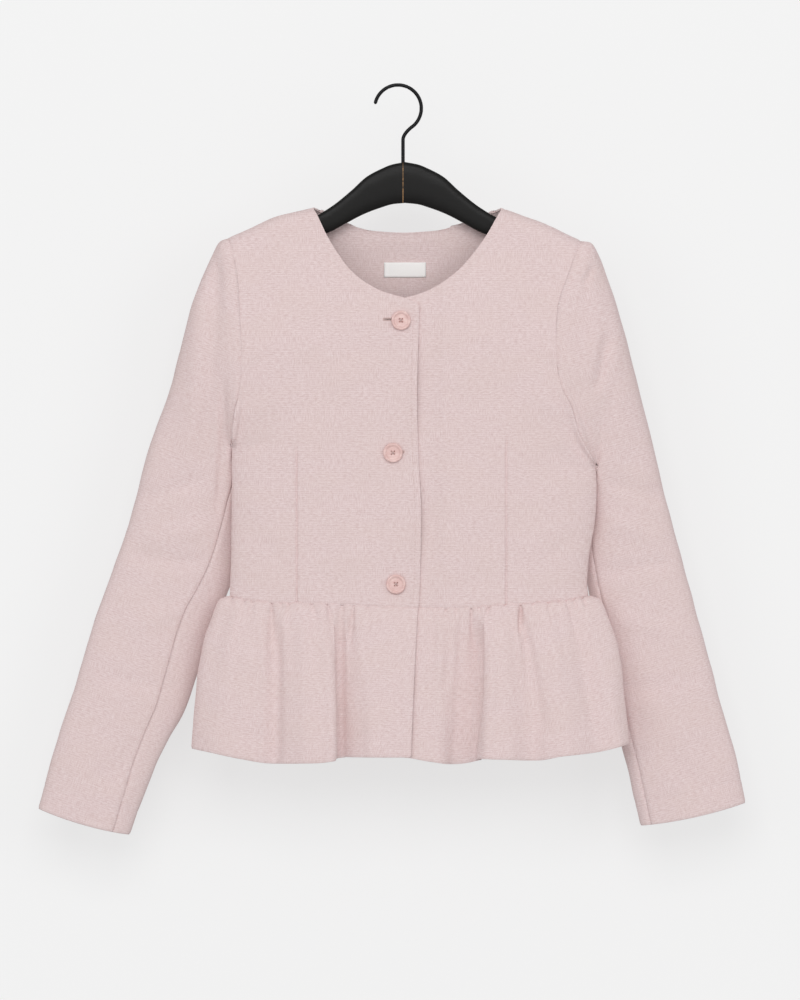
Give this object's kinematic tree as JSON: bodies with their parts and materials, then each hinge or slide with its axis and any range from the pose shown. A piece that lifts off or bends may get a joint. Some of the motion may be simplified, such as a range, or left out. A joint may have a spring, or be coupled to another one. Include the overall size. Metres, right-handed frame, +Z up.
{
  "type": "tweed jacket on a clothes hanger",
  "caption": "Short collarless tweed jacket with a gathered peplum, buttoned front and long two-piece sleeves, hung on a wooden clothes hanger.",
  "frame": {"origin": "inside top of the hanger's hook, where a pin or rail carries it", "axes": "+Z up, -Y out of the jacket's front, +X towards the wearer's left"},
  "size_m": [0.7079, 0.0903, 0.7516],
  "materials": {
    "tweed": "soft brushed slubby tweed, matt",
    "button": "satin cast resin",
    "label": "fine woven tape, matt",
    "hanger_wood": "black satin lacquer",
    "hook_wire": "black plated steel wire"
  },
  "bodies": {
    "root": {"front_right": "tweed", "front_left": "tweed", "back": "tweed", "sleeve_top_right": "tweed", "sleeve_under_right": "tweed", "sleeve_top_left": "tweed", "sleeve_under_left": "tweed", "peplum_front_right": "tweed", "peplum_front_left": "tweed", "peplum_back": "tweed", "button_top": "button", "button_middle": "button", "button_bottom": "button", "neck_label": "label", "hanger_body": "hanger_wood", "hanger_hook": "hook_wire"}
  },
  "joints": []
}
